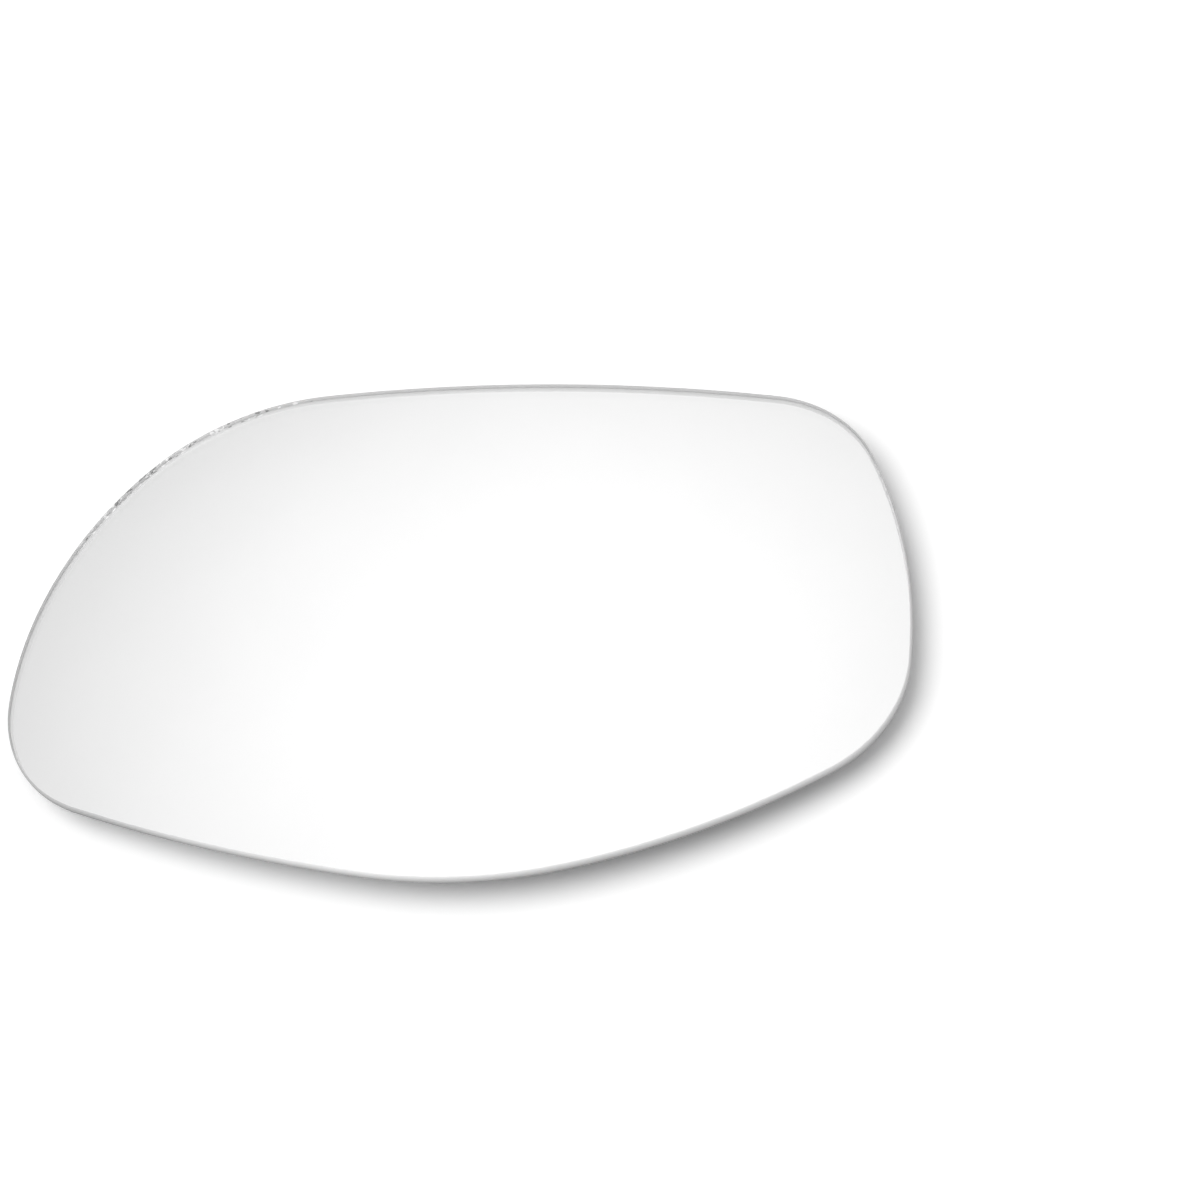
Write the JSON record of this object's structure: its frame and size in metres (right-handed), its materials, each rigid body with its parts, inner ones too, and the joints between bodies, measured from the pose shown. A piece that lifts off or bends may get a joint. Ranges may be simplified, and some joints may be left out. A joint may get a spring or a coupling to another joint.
{
  "type": "door mirror glass",
  "caption": "Convex heated door mirror glass with a ground edge, an etched heater pad and a black backing plate with a round clip bore.",
  "frame": {"origin": "centre of the clip bore at its rear mouth", "axes": "+Z leaves the mirror face, +Y points at the mirror's upper edge, +X at its broad end as seen from the face"},
  "size_m": [0.1742, 0.1146, 0.0093],
  "materials": {
    "mirror_glass": "polished, with a ground edge",
    "heater_film": "satin",
    "heater_trace": "satin",
    "backing_plate": "fine grained",
    "terminal": "tinned"
  },
  "bodies": {
    "root": {"mirror_glass": "mirror_glass", "heater_film": "heater_film", "heater_trace": "heater_trace", "backing_plate": "backing_plate", "terminal_upper": "terminal", "terminal_lower": "terminal"}
  },
  "joints": []
}
